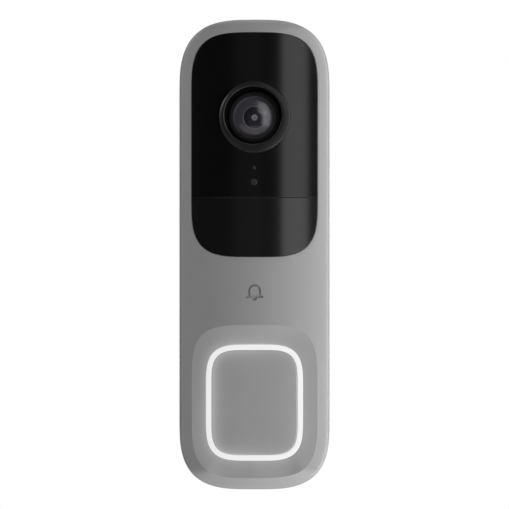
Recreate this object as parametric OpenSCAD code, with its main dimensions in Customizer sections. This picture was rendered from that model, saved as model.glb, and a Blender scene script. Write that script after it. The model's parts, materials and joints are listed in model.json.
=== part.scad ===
// Wired video doorbell: a tall rounded body with a convex front, a glossy camera window over a motion
// sensor lens, and a sprung call button inside a ring of light. It hooks onto a wall bracket.
//
// Frame: +Z is up, the front faces -Y, and the wall is the plane y = 0. The origin is midway between the
// two wall screws. Depths (the d in names) are distances out from the wall, so depth d is y = -d.

/* [Body] */
// Width of the body
body_w = 45.5; // [44.5:0.5:48]
// Height of the body
body_h = 142; // [140:1:150]
// Depth from the wall to the crown of the front
body_d = 28; // [27:0.5:30]
// Radius of the convex front, about a vertical axis
crown_r = 50; // [46:1:60]
// Thickness of the side walls
wall_t = 1.8; // [1.6:0.1:2]

/* [Camera window] */
// Width of the black window
window_w = 38.2; // [36:0.2:39]
// Height of the black window, camera part and motion sensor part together
window_h = 67.8; // [66:0.1:69]
// Height of the motion sensor part below the seam
pir_lens_h = 17.95; // [16:0.05:19]
// Height of the lens above the middle of the body
lens_z = 41.5; // [40:0.5:43]
// Radius of the bezel round the lens
bezel_r = 10.65; // [10:0.05:11]

/* [Call button] */
// Width of the light ring
ring_w = 29.2; // [28:0.2:30]
// Height of the light ring
ring_h = 35; // [34:0.2:36]
// Width of the light ring's visible band
ring_t = 1.6; // [1.4:0.1:2]
// Height of the button's middle below the middle of the body
button_drop = 44.7; // [44:0.1:45]
// How far the button travels
button_travel = 0.5; // [0.3:0.1:0.6]

/* [Wall bracket] */
// Distance between the two wall screws
wall_screw_pitch = 96; // [94:1:98]
// Radius of the wall screw holes
wall_screw_r = 2.1; // [1.8:0.1:2.3]
// How far the body lifts to come off its hooks
lift = 6; // [5.5:0.5:6]

/* [Hidden] */
$fn = 48;
fit = 0.1;             // clearance between pieces that only sit together
thin = 0.05;           // clearance between pieces that touch
corner_steps = 14;     // straight steps in a soft corner

// Depths
rear_d = 0.6;                        // back edge of the rear housing
groove_d = 6.5;                      // floor of the gasket's groove
recess_d = 4;                        // floor of the recess that hides the bracket
floor_d = 6;                         // inner face of the rear wall
parting_d = 7;                       // where front and rear housings meet
axis_d = body_d - crown_r;           // depth of the front's cylinder axis
shell_r = crown_r - 2;               // inner face of the front wall
panel_t = 2;                         // thickness of the window and the sensor lens
ledge_r = crown_r - 2.4;             // ledge that the window is glued to
ledge_back_r = crown_r - 3.6;        // back of that ledge
plate_d = 2.2;                       // thickness of the bracket's plate
board_d = 9.8;                       // back of the main board
board_t = 1.2;                       // thickness of the main board
board_front_d = board_d + board_t;
frame_d = 18.3;                      // back of the camera frame's plate
frame_front_d = frame_d + 1.2;

// Soft corners: their sizes at an outline's top and bottom, and their superellipse power
body_c = [21.9, 20.5];
body_power = 2.93;
window_c = [19.1, 17.8];
window_power = 3.5;
pad_c = [17.2, 18.9];
ring_c = [13.3, 13.3];
ring_power = 3.6;

// Heights
window_z = body_h / 2 - 3.9 - window_h / 2;
seam_z = window_z - window_h / 2 + pir_lens_h;
seam_gap = 0.15;
pir_z = seam_z - pir_lens_h / 2;
status_z = 26.2;
ambient_z = 21.9;
button_z = -button_drop;

// Button pad: the flatter face round the ring
pad_w = 38;
pad_h = 46.2;
pad_z = button_z + 0.4;
pad_crown_d = body_d - 2;
pad_r = 105;
pad_back_d = 23.3;
end_r = 85;            // radius of the rims that lean back at the top and the bottom
ring_step_d = 23.7;    // back of the ring's visible band
flange_front_d = 22.9; // front of the ring's flange
flange_w = 32.6;
flange_h = 38.4;
flange_c = [14, 14];
cap_gap = 0.15;        // gap between the button's cap and the light ring
cap_back_d = 22.6;
cap_r = 140;
button_board_d = 17.6;
button_board_front_d = 18.6;
switch_top_d = 21.7;
stem_r = 1.7;

// Lens
lens_glass_r = 6.6;
lens_glass_apex_d = 25.7;
barrel_front_d = 25;
sensor_board_d = 12.4;
sensor_board_front_d = 13.4;
holder_front_d = 18;
filter_travel = 6.8;

// Sound
mic_x = -14.6;

// Bracket and what meets it
hook_x = 12.5;
hook_zs = [34, -44];
hook_w = 5.4;
hook_h = 3;
lip_h = 5;
lug_z = -58;           // middle of the lug that the security screw grips
screw_d = 3.8;         // depth of the security screw's axis
screw_r = 1.25;
screw_head_z = -body_h / 2 + 1.9;    // underside of its head
screw_tip_z = -55.5;
oring_wire = 0.8;
tamper_at = [-13.5, 2];
tamper_r = 1.6;
reset_at = [13.5, 2];
reset_r = 1.1;

// Fasteners
boss_top = [17.6, 59.5];
boss_bottom = [18.2, -57];
board_screws_at = [[14.8, 45.5], [14.8, -33]];

// ---- Helpers ----

// Points of a rectangle whose corners are quarter superellipses of power n; c is their size at the top
// and at the bottom.
function squircle(w, h, c, n, k = corner_steps) = [
    for (q = [0:3], i = [0:k])
        let (
            a = 90 * (q % 2 == 0 ? i : k - i) / k,
            size = min(c[q < 2 ? 0 : 1], w / 2 - 0.3),
            x = w / 2 - size + size * pow(cos(a), 2 / n),
            z = h / 2 - size + size * pow(sin(a), 2 / n)
        )
        [[1, -1, -1, 1][q] * x, [1, 1, -1, -1][q] * z]
];

// Corner sizes of an outline drawn in by inset, so that the distance between the two stays even.
function drawn_in(c, n, inset) = c - [1, 1] * inset * (1 - sqrt(0.5)) / (1 - pow(0.5, 1 / n));

// Sweeps a front-view outline (x, z) from depth d0 to depth d1.
module slab(d0, d1) {
    rotate([90, 0, 0]) translate([0, 0, d0]) linear_extrude(d1 - d0) children();
}

// Round bar along the depth direction, at [x, z].
module post(at, r, d0, d1) {
    translate([at.x, 0, at.y]) rotate([90, 0, 0]) translate([0, 0, d0]) cylinder(r = r, h = d1 - d0);
}

// Taper along the depth direction, at [x, z].
module cone(at, r0, r1, d0, d1) {
    translate([at.x, 0, at.y]) rotate([90, 0, 0]) translate([0, 0, d0])
        cylinder(r1 = r0, r2 = r1, h = d1 - d0);
}

// Box given by its middle [x, z], its size [w, h] and its depths.
module block(at, size, d0, d1) {
    translate([at.x - size.x / 2, -d1, at.y - size.y / 2]) cube([size.x, d1 - d0, size.y]);
}

// Everything within r of the front's vertical axis.
module front_cylinder(r, h = 200) {
    translate([0, -axis_d, 0]) cylinder(r = r, h = h, center = true, $fn = 180);
}

// Solid of revolution about a depth axis through [x, z]; the profile's x is radius, its y is depth.
module turned(at, profile) {
    translate([at.x, 0, at.y]) rotate([90, 0, 0]) rotate_extrude() polygon(profile);
}

module soft_outline(w, h, c, n, z = 0, inset = 0) {
    translate([0, z]) polygon(squircle(w - 2 * inset, h - 2 * inset, drawn_in(c, n, inset), n));
}

module body_outline(inset = 0) {
    soft_outline(body_w, body_h, body_c, body_power, 0, inset);
}

module window_outline(inset = 0) {
    soft_outline(window_w, window_h, window_c, window_power, window_z, inset);
}

module ring_outline(inset = 0) {
    soft_outline(ring_w, ring_h, ring_c, ring_power, button_z, inset);
}

module rounded(size, r) {
    polygon(squircle(size.x, size.y, [r, r], 2, 5));
}

module mirrored() {
    children();
    mirror([1, 0, 0]) children();
}

module hook_places() {
    for (z = hook_zs) translate([0, 0, z]) mirrored() translate([hook_x, 0, 0]) children();
}

// Coil along the depth direction: rings stacked at an even pitch and joined by a thin sleeve.
module coil_stack(at, r, wire, d0, d1, turns) {
    pitch = (d1 - d0 - wire) / (turns - 1);
    translate([at.x, 0, at.y]) rotate([90, 0, 0]) {
        for (i = [0:turns - 1])
            translate([0, 0, d0 + wire / 2 + i * pitch])
                rotate_extrude() translate([r, 0]) circle(d = wire);
        translate([0, 0, d0 + wire / 2]) difference() {
            cylinder(r = r + wire / 8, h = d1 - d0 - wire);
            translate([0, 0, -1]) cylinder(r = r - wire / 8, h = d1 - d0 + 2);
        }
    }
}

// ---- Wall bracket ----

module bracket_hook() {
    block([0, -hook_h / 2], [hook_w, hook_h], plate_d - 0.1, floor_d + 0.3);
    block([0, (lip_h - hook_h) / 2], [hook_w, lip_h + hook_h], floor_d + 0.3, floor_d + 1.7);
}

module bracket() {
    color("dimgray") difference() {
        union() {
            slab(0, plate_d) difference() {
                soft_outline(34, 120, [13.5, 13.5], body_power);
                translate([0, -4]) rounded([18, 26], 3);
                translate([tamper_at.x, tamper_at.y + lift / 2]) rounded([4.4, lift + 4.4], 2.1);
            }
            hook_places() bracket_hook();
            block([0, lug_z], [8, 4], plate_d - 0.1, screw_d + 2.6);
        }
        for (side = [-1, 1]) {
            post([0, side * wall_screw_pitch / 2], wall_screw_r, -1, plate_d + 1);
            cone([0, side * wall_screw_pitch / 2], wall_screw_r, wall_screw_r + 1.6, 1.2, plate_d + 0.6);
        }
        translate([0, -screw_d, lug_z]) cylinder(r = screw_r + thin, h = 20, center = true);
    }
}

// ---- Rear housing ----

// Slot that a hook passes through once the body is lifted; at rest its top edge sits on the hook.
module hook_slot() {
    low = -hook_h - lift - fit;
    block([0, (thin + low) / 2], [hook_w + 0.6, thin - low], recess_d - 1, floor_d + 1);
}

// Space behind the rear wall that a hook's lip needs, from its rest place down to its lifted place.
module hook_pocket(grow, d0, d1) {
    low = -hook_h - lift - 0.6 - grow;
    high = lip_h + 0.3 + grow;
    block([0, (high + low) / 2], [hook_w + 1 + 2 * grow, high - low], d0, d1);
}

// Space for the bracket's lug, at rest and lifted.
module screw_well(grow, d0, d1) {
    block([0, -60.9], [9.2 + 2 * grow, 11.4 + 2 * grow], d0, d1);
}

// Room below the terminals for the ends of the wires.
module wire_well(grow, d0, d1) {
    block([0, -11.05], [16 + 2 * grow, 11.9 + 2 * grow], d0, d1);
}

module rear_housing() {
    color("gray") difference() {
        union() {
            difference() {
                slab(rear_d, parting_d) body_outline();
                slab(0, recess_d) body_outline(2);
                slab(floor_d, parting_d + 1) body_outline(3.2);
            }
            slab(parting_d - 0.5, parting_d + 1.4) difference() {
                body_outline(2);
                body_outline(3.2);
            }
            hook_places() hook_pocket(1, floor_d - 0.1, floor_d + 3.2);
            screw_well(1.2, recess_d + 0.5, 8.4);
            wire_well(1, recess_d + 0.5, 8.6);
            block([0, -body_h / 2 + 2.4], [7.4, 3.2], rear_d, floor_d);
            for (p = board_screws_at) mirrored() post(p, 2, floor_d - 0.1, board_d);
        }
        hook_places() hook_slot();
        hook_places() hook_pocket(0, floor_d, floor_d + 2.2);
        screw_well(0, recess_d - 1, 7.2);
        wire_well(0, recess_d - 1, 7.6);
        block([0, 0.1], [16.6, 10.6], recess_d - 1, floor_d + 3);
        // security screw: clearance hole, and a counterbore for its head and seal
        translate([0, -screw_d, -body_h / 2 - 1]) {
            cylinder(r = screw_r + 0.1, h = 8);
            cylinder(r = 2.4, h = screw_head_z + oring_wire + fit + body_h / 2 + 1);
        }
        slab(groove_d, parting_d + 3) difference() {
            body_outline(0.6);
            body_outline(1.3);
        }
        for (p = [boss_top, boss_bottom]) mirrored() {
            post(p, 1.15, recess_d - 1, floor_d + 1);
            post(p, 2, recess_d - 1, recess_d + 1.1);
            post(p, 2.7, floor_d + 0.05, parting_d + 3);
        }
        for (p = board_screws_at) mirrored() post(p, 0.95, floor_d + 0.2, board_d + 1);
        post(tamper_at, tamper_r + thin, recess_d - 1, floor_d + 1);
        post(reset_at, reset_r + thin, recess_d - 1, floor_d + 1);
    }
}

module housing_gasket() {
    color("black") slab(groove_d, parting_d) difference() {
        body_outline(0.65);
        body_outline(1.25);
    }
}

module wall_seal() {
    color("black") slab(0.05, rear_d) difference() {
        body_outline(0.5);
        body_outline(1.5);
    }
}

// ---- Front housing ----

// The space in front of the flatter face round the button.
module pad_cut() {
    difference() {
        slab(20, body_d + 1) soft_outline(pad_w, pad_h, pad_c, window_power, pad_z);
        translate([0, pad_r - pad_crown_d, 0]) cylinder(r = pad_r, h = 200, center = true, $fn = 180);
    }
}

// The space in front of a wide cylinder that leans back by angle from height z and depth d.
module end_slope(z, d, angle, side) {
    translate([0, -d, z]) rotate([-side * angle, 0, 0]) difference() {
        translate([-body_w / 2 - 1, -10, -10]) cube([body_w + 2, 15, 20]);
        translate([0, end_r, 0]) cylinder(r = end_r, h = 30, center = true, $fn = 180);
    }
}

// Above the window and below the button's pad, the rims lean back.
module end_slopes() {
    end_slope(window_z + window_h / 2 + 0.2, body_d, 20, 1);
    end_slope(pad_z - pad_h / 2, pad_crown_d + thin, 31, -1);
}

// A bell outline, pressed into the face between the window and the button.
module bell_mark() {
    translate([0, -10.8]) difference() {
        union() {
            circle(r = 1.9);
            translate([-1.9, -1.6]) square([3.8, 1.6]);
            translate([-2.6, -2.2]) square([5.2, 0.7]);
            translate([0, -2.5]) circle(r = 0.7);
        }
        circle(r = 1.3);
        translate([-1.3, -1.5]) square([2.6, 1.5]);
    }
}

module front_housing() {
    color("darkgray") difference() {
        union() {
            difference() {
                intersection() {
                    slab(parting_d, body_d + 1) body_outline();
                    front_cylinder(crown_r);
                }
                difference() {
                    intersection() {
                        slab(parting_d - 1, body_d) body_outline(wall_t);
                        front_cylinder(shell_r);
                    }
                    // solid plate behind the button pad
                    block([0, pad_z - 1.5], [body_w, pad_h + 4], pad_back_d, body_d);
                    // ledge behind the window
                    difference() {
                        slab(10, body_d) window_outline(-1.4);
                        front_cylinder(ledge_back_r);
                    }
                    // thicker wall behind the speaker slots
                    block([0, -body_h / 2 + 1], [23, 3.2], 8.6, 16.8);
                }
            }
            for (p = [boss_top, boss_bottom]) mirrored() post(p, 2.6, floor_d + 0.1, 16.5);
            for (x = [-15.2, 15.2], z = [-18, 18])
                post([x, button_z + z], 1.6, button_board_front_d, pad_back_d + 0.2);
        }
        end_slopes();
        pad_cut();
        // seat and opening of the window
        difference() {
            slab(10, body_d + 1) window_outline();
            front_cylinder(ledge_r);
        }
        slab(10, body_d + 1) window_outline(1.8);
        // opening for the light ring
        slab(pad_back_d - 1, body_d + 1) ring_outline(-fit);
        difference() {
            slab(20, body_d + 1) bell_mark();
            front_cylinder(crown_r - 0.35);
        }
        for (p = [boss_top, boss_bottom]) mirrored() post(p, 1.05, floor_d - 1, 15.5);
        for (x = [-15.2, 15.2], z = [-18, 18])
            post([x, button_z + z], 0.7, button_board_front_d - 1, pad_back_d - 0.5);
        for (x = [-9:3:9]) block([x, -body_h / 2 + 1], [1.3, 8], 9.8, 15.8);
        translate([mic_x, -12.2, -body_h / 2 - 1]) cylinder(r = 0.5, h = 12);
    }
}

// ---- Window ----

module window_panel(z0, z1) {
    intersection() {
        difference() {
            front_cylinder(crown_r);
            front_cylinder(crown_r - panel_t);
        }
        slab(10, body_d + 1) intersection() {
            window_outline(fit);
            translate([-body_w / 2, z0]) square([body_w, z1 - z0]);
        }
    }
}

module camera_window() {
    color("black") difference() {
        window_panel(seam_z + seam_gap / 2, body_h / 2);
        post([0, lens_z], bezel_r + fit, 15, 40);
        post([0, status_z], 0.45, 15, 40);
        block([0, ambient_z], [1.5, 1.5], 15, 40);
    }
}

module pir_lens() {
    color([0.05, 0.05, 0.05]) window_panel(-body_h / 2, seam_z - seam_gap / 2);
}

module window_seal() {
    color("dimgray") intersection() {
        difference() {
            front_cylinder(crown_r - panel_t - thin);
            front_cylinder(ledge_r + thin);
        }
        slab(10, body_d + 1) difference() {
            window_outline(0.4);
            window_outline(1.7);
        }
    }
}

module light_pipes() {
    color("gainsboro") intersection() {
        union() {
            post([0, status_z], 0.4, frame_front_d + 1.7, body_d + 1);
            block([0, ambient_z], [1.4, 1.4], frame_front_d + 1.7, body_d + 1);
        }
        front_cylinder(crown_r);
    }
}

// ---- Camera ----

module lens_bezel() {
    color([0.08, 0.08, 0.08]) difference() {
        union() {
            post([0, lens_z], bezel_r, 22.6, body_d + 0.1);
            post([0, lens_z], bezel_r + 1.3, 22.6, 23.6);
        }
        post([0, lens_z], 8, 22, 30);
        post([-0.45, lens_z + 0.6], 8.7, 26.4, 30);
    }
}

module lens_barrel() {
    color([0.05, 0.05, 0.05]) difference() {
        union() {
            post([0, lens_z], 6, 16.6, 22);
            post([0, lens_z], 7.8, 21.6, barrel_front_d);
        }
        post([0, lens_z], lens_glass_r + thin, 22.6, 30);
        post([0, lens_z], 3.5, 19.9, 23);
        post([0, lens_z], 3.0, 16, 20.5);
    }
}

module lens_front_glass() {
    edge_d = 24.05;
    rise = lens_glass_apex_d - edge_d;
    sphere_r = (lens_glass_r * lens_glass_r + rise * rise) / (2 * rise);
    color("midnightblue") intersection() {
        post([0, lens_z], lens_glass_r, 22.6, lens_glass_apex_d + 1);
        translate([0, sphere_r - lens_glass_apex_d, lens_z]) sphere(r = sphere_r, $fn = 96);
    }
}

module lens_rear_glass() {
    color("slategray") difference() {
        post([0, lens_z], 2.95, 17.2, 19.6);
        translate([0, -25.4, lens_z]) sphere(r = 6.4, $fn = 64);
    }
}

module lens_retainer() {
    color("black") difference() {
        post([0, lens_z], 7.6, barrel_front_d, barrel_front_d + 0.7);
        post([0, lens_z], 6.35, 20, 30);
    }
}

module lens_holder() {
    color([0.1, 0.1, 0.1]) difference() {
        union() {
            block([0, lens_z], [23, 17], sensor_board_front_d, holder_front_d);
            post([0, lens_z], 8, holder_front_d - 0.1, 21);
        }
        post([0, lens_z], 6 + thin, 16.5, 22);
        post([0, lens_z], 4.2, 15, 17);
        block([0, lens_z], [10, 8.4], sensor_board_front_d - 1, 15.2);
        block([0, lens_z], [22.4, 8.4], 15.1, 16.3);
    }
}

module ir_cut_filter() {
    frame_w = 14.8;
    middle_x = filter_travel / 2;
    difference() {
        color("silver") block([middle_x, lens_z], [frame_w, 8], 15.4, 16);
        for (side = [-1, 1]) {
            block([middle_x + side * filter_travel / 2, lens_z], [6, 6], 15, 15.8);
            block([middle_x + side * filter_travel / 2, lens_z], [5, 5], 15, 17);
        }
    }
    for (side = [-1, 1])
        color(side < 0 ? "lightseagreen" : "azure")
            block([middle_x + side * filter_travel / 2, lens_z], [5.8, 5.8], 15.4, 15.7);
}

module image_sensor() {
    color("darkslategray") block([0, lens_z], [8.4, 7], sensor_board_front_d, 14.5);
}

module sensor_board() {
    color("darkgreen") block([0, lens_z], [25, 20], sensor_board_d, sensor_board_front_d);
}

module board_connector() {
    color("tan") block([0, lens_z + 6], [12, 3], board_front_d, sensor_board_d);
}

module camera_frame() {
    color([0.15, 0.15, 0.15]) difference() {
        union() {
            block([0, 30.5], [30, 63], frame_d, frame_front_d);
            for (z = [17, 54]) mirrored() post([13, z], 1.8, board_front_d, frame_d + 0.1);
        }
        post([0, lens_z], 8.2, 0, 30);
        post([0, pir_z], 5.2, 0, 30);
    }
}

module ir_board() {
    color("darkgreen") block([0, 24.2], [29, 13.6], frame_front_d, frame_front_d + 1);
}

module ir_emitters() {
    color([0.25, 0.2, 0.25]) mirrored() turned([11, 24.2], [
        [0, frame_front_d + 1], [2.3, frame_front_d + 1], [2.3, frame_front_d + 2.2],
        [1.7, frame_front_d + 3], [0, frame_front_d + 3.3]
    ]);
}

module pir_sensor() {
    color("silver") {
        post([0, pir_z], 4.6, 14.6, 18.2);
        for (a = [30, 150, 270]) post([2.5 * cos(a), pir_z + 2.5 * sin(a)], 0.25, board_front_d, 14.7);
    }
}

module pir_holder() {
    color("black") difference() {
        block([0, pir_z], [12, 12], board_front_d, 16.8);
        post([0, pir_z], 4.6 + thin, 14.55, 20);
        post([0, pir_z], 3.4, 10, 15);
    }
}

// ---- Boards and power ----

module main_board() {
    color("darkgreen") slab(board_d, board_front_d) difference() {
        union() {
            translate([-17.5, -38]) square([35, 88]);
            translate([-13, 49]) square([26, 16]);
        }
        for (p = board_screws_at, side = [-1, 1]) translate([side * p.x, p.y]) circle(r = 1.05);
    }
}

module processor() {
    color([0.1, 0.1, 0.12]) block([0, 25.2], [12, 9], board_front_d, board_front_d + 1);
}

module processor_shield() {
    color("silver") difference() {
        block([0, 25.2], [20, 12], board_front_d, board_front_d + 2.4);
        block([0, 25.2], [19.4, 11.4], board_front_d - 1, board_front_d + 2.1);
    }
}

module memory_chips() {
    color([0.1, 0.1, 0.12]) mirrored() block([12.2, 8], [7, 9], board_front_d, board_front_d + 1);
}

module wifi_module() {
    color("silver") block([0, 59], [14, 9], board_front_d, board_front_d + 1.8);
}

module antenna() {
    color("goldenrod") union() {
        block([0, 64.2], [22, 0.4], board_front_d, 17.8);
        block([-8, 64.2], [1.2, 0.4], 17.7, 20);
        block([0, 64.2], [17.2, 0.4], 19.2, 20);
    }
}

module supercapacitors() {
    color("midnightblue") for (side = [-1, 1])
        translate([side * 7.4, -board_front_d - 3.5, -21]) cylinder(r = 3.45, h = 18);
}

module power_inductor() {
    color([0.2, 0.2, 0.2]) block([0, -30], [9, 9], board_front_d, board_front_d + 4);
}

module heat_spreader() {
    color("lightgray") block([0, 53.4], [20, 17], floor_d, 8.8);
}

module thermal_pad() {
    color("lightsteelblue") block([0, 53.4], [14, 12], 8.8, board_d);
}

// ---- Terminals, tamper and reset ----

module terminal_block() {
    color("seagreen") difference() {
        block([0, 0], [16, 10], 2.6, board_d);
        for (x = [-5.1, 0, 5.1]) {
            post([x, 1], 1.95, 2, 5.6);
            block([x, -1.5], [3.8, 8], 5.5, 8.9);
        }
    }
}

module terminal_screws() {
    color("silver") for (x = [-5.1, 0, 5.1]) difference() {
        union() {
            post([x, 1], 1.85, 3.4, 4.8);
            post([x, 1], 1.1, 4.7, 6.4);
        }
        block([x, 1], [2.8, 0.6], 3, 4);
    }
}

module terminal_clamps() {
    color("gold") for (x = [-5.1, 0, 5.1]) difference() {
        block([x, 0.4], [3.6, 3.8], 5.7, 8.8);
        block([x, 0.4], [2.4, 5], 6.7, 8.2);
        post([x, 1], 1.15, 5, 7);
    }
}

module tamper_plunger() {
    color("white") {
        post(tamper_at, tamper_r, 0.3, floor_d + 0.1);
        post(tamper_at, 2.4, floor_d + thin, floor_d + 0.7);
    }
}

module tamper_spring() {
    color("silver") coil_stack(tamper_at, 1.7, 0.3, floor_d + 0.75, 8.45, 4);
}

module tamper_switch() {
    color("black") block(tamper_at, [5, 5], 8.5, board_d);
}

module reset_plunger() {
    color("dimgray") {
        post(reset_at, reset_r, recess_d + 0.4, 8.6);
        post(reset_at, 1.8, floor_d + thin, floor_d + 0.6);
    }
}

module reset_switch() {
    color("black") difference() {
        block(reset_at, [4.5, 4.5], 8.3, board_d);
        post(reset_at, reset_r + thin, 8, 9.1);
    }
}

// ---- Call button ----

module pad_surface(extra = 0) {
    translate([0, pad_r - pad_crown_d, 0]) cylinder(r = pad_r + extra, h = 200, center = true, $fn = 180);
}

module light_ring() {
    color("white") intersection() {
        union() {
            slab(ring_step_d, body_d) difference() {
                ring_outline();
                ring_outline(ring_t);
            }
            slab(20.6, flange_front_d) difference() {
                soft_outline(flange_w, flange_h, flange_c, ring_power, button_z);
                ring_outline(0.5);
            }
            slab(flange_front_d - 0.1, ring_step_d + 0.1) difference() {
                ring_outline();
                ring_outline(0.5);
            }
        }
        pad_surface(thin);
    }
}

module button_cap() {
    color("gray") {
        intersection() {
            slab(cap_back_d + 0.5, body_d) ring_outline(ring_t + cap_gap);
            translate([0, cap_r - pad_crown_d, 0]) cylinder(r = cap_r, h = 200, center = true, $fn = 180);
        }
        slab(cap_back_d, ring_step_d - fit) ring_outline(0.9);
        post([0, button_z], 2.4, switch_top_d + 0.75, cap_back_d + 0.1);
    }
}

module switch_stem() {
    color("red") post([0, button_z], stem_r, switch_top_d - 0.9, switch_top_d + 0.7);
}

module switch_body() {
    color("black") difference() {
        block([0, button_z], [6, 6], button_board_front_d, switch_top_d);
        post([0, button_z], stem_r + thin, switch_top_d - 1.1 - button_travel, switch_top_d + 1);
    }
}

// Silicone dome that pushes the button back out.
module button_dome() {
    color("lightgray") turned([0, button_z], [
        [9, button_board_front_d], [10.4, button_board_front_d], [10.4, button_board_front_d + 0.8],
        [9.6, button_board_front_d + 1], [7.4, cap_back_d - 0.05], [5.8, cap_back_d - 0.05],
        [5.8, cap_back_d - 0.6], [6.7, cap_back_d - 0.6], [8.6, button_board_front_d + 1]
    ]);
}

module button_board() {
    color("darkgreen") slab(button_board_d, button_board_front_d) difference() {
        translate([0, button_z]) rounded([34, 40], 2.5);
        for (x = [-15.2, 15.2], z = [-18, 18]) translate([x, button_z + z]) circle(r = 0.75);
    }
}

// LEDs round the board, under the flange of the light ring.
module ring_leds() {
    corners = squircle(30.4, 36.3, [11, 11], 2.45, 3);
    sides = [[15.2, 0], [-15.2, 0], [0, 18.15], [0, -18.15]];
    color("lightyellow") for (p = concat(corners, sides))
        block([p.x, button_z + p.y], [1.4, 1.4], button_board_front_d, button_board_front_d + 0.7);
}

// Flat cable from the back of the button's board to the front of the main board.
module button_flex() {
    t = 0.3;
    color("orange") union() {
        block([0, -26], [6, 6.2], button_board_d - t, button_board_d);
        block([0, -23.05], [6, t], board_front_d, button_board_d);
        block([0, -24.1], [6, 2.4], board_front_d, board_front_d + t);
    }
}

// ---- Sound ----

module speaker_frame() {
    color([0.15, 0.15, 0.15]) difference() {
        translate([0, -12.8, -67.2]) linear_extrude(4.8) rounded([25, 8.2], 3);
        translate([0, -12.8, -68]) linear_extrude(3) rounded([22.6, 5.8], 2.4);
        translate([0, -12.8, -68]) linear_extrude(8) rounded([16.2, 4.6], 1.8);
    }
}

module speaker_cone() {
    color([0.3, 0.3, 0.3]) translate([0, -12.8, -66.4]) linear_extrude(0.5) rounded([22.4, 5.6], 2.3);
}

module speaker_magnet() {
    color("silver") translate([0, -12.8, -64.8]) linear_extrude(2.4) rounded([16, 4.4], 1.7);
}

module speaker_box() {
    color("black") difference() {
        block([0, -52.2], [28, 20.2], 9.6, 17);
        block([0, -53], [26, 20.6], 10.6, 16);
    }
}

module speaker_mesh() {
    color("dimgray") block([0, -68.1], [21, 0.25], 9.2, 16.2);
}

module microphone() {
    color("gold") block([mic_x, -64.2], [3.4, 1.1], 10.6, 13.8);
}

// ---- Fasteners ----

module housing_screws() {
    color("silver") for (p = [boss_top, boss_bottom]) mirrored() difference() {
        union() {
            post(p, 1.85, recess_d, recess_d + 1.1);
            post(p, 1, recess_d + 1, 14);
        }
        block(p, [2.2, 0.5], recess_d - 1, recess_d + 0.6);
        block(p, [0.5, 2.2], recess_d - 1, recess_d + 0.6);
    }
}

module board_screws() {
    color("silver") for (p = board_screws_at) mirrored() {
        post(p, 1.8, board_front_d, board_front_d + 1.1);
        post(p, 0.9, floor_d + 0.6, board_front_d + 0.1);
    }
}

module security_screw() {
    color("silver") translate([0, -screw_d, 0]) difference() {
        union() {
            translate([0, 0, screw_head_z - 1.5]) cylinder(r = 2.2, h = 1.5);
            translate([0, 0, screw_head_z - 0.1]) cylinder(r = screw_r, h = screw_tip_z - screw_head_z + 0.1);
        }
        // six-lobed recess for a security driver
        translate([0, 0, screw_head_z - 2]) cylinder(r = 0.9, h = 1.5);
        for (a = [0:60:300]) rotate(a) translate([0.95, 0, screw_head_z - 2]) cylinder(r = 0.28, h = 1.5);
    }
}

// Rubber ring under the screw's head: it travels with the screw and doesn't turn.
module screw_oring() {
    color("black") translate([0, -screw_d, screw_head_z + thin + oring_wire / 2])
        rotate_extrude() translate([screw_r + thin + oring_wire / 2, 0]) circle(d = oring_wire, $fn = 24);
}

bracket();
rear_housing();
front_housing();
housing_gasket();
wall_seal();
camera_window();
pir_lens();
window_seal();
lens_bezel();
lens_barrel();
lens_front_glass();
lens_rear_glass();
lens_retainer();
lens_holder();
ir_cut_filter();
image_sensor();
sensor_board();
board_connector();
main_board();
processor();
processor_shield();
memory_chips();
wifi_module();
antenna();
supercapacitors();
power_inductor();
terminal_block();
terminal_screws();
terminal_clamps();
tamper_plunger();
tamper_spring();
tamper_switch();
reset_plunger();
reset_switch();
heat_spreader();
thermal_pad();
camera_frame();
ir_board();
ir_emitters();
light_pipes();
pir_sensor();
pir_holder();
button_cap();
button_dome();
light_ring();
button_board();
ring_leds();
switch_body();
switch_stem();
button_flex();
speaker_frame();
speaker_magnet();
speaker_cone();
speaker_box();
speaker_mesh();
microphone();
housing_screws();
board_screws();
security_screw();
screw_oring();
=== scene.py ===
"""Looks of the wired video doorbell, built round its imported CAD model.

Outlines are worked out in millimetres in the front view, as (x, z), and depths are distances out from the
wall, so a point at depth d is at y = -d. Meshes are made in metres.
"""

import json
from math import cos, exp, hypot, pi, radians, sin, sqrt, tan

import bmesh
import bpy
import numpy as np
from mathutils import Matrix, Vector
from mathutils.geometry import delaunay_2d_cdt


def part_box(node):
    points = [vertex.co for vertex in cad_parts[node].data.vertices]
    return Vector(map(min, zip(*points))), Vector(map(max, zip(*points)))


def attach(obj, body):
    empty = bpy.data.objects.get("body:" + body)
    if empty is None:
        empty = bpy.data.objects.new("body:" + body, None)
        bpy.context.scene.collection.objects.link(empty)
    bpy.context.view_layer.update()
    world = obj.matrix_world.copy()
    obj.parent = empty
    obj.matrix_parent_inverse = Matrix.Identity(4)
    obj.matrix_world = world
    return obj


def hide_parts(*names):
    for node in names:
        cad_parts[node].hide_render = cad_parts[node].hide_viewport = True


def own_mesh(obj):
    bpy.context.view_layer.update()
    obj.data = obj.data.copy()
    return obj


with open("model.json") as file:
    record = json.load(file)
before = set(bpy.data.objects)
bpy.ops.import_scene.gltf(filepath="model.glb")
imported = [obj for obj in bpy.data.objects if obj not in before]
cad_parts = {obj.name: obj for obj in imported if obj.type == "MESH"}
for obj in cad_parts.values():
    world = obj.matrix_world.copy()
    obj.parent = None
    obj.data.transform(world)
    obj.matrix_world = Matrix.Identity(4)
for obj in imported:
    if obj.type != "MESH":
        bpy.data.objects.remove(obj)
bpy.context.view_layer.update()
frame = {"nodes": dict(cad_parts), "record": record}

# ---- Measures ----

MM = 0.001
SHARP_ANGLE = radians(35)   # edges that turn by more than this are shaded sharp


def box_mm(node):
    """Lowest and highest corner of a CAD node, in millimetres."""
    low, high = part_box(node)
    return low / MM, high / MM


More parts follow.
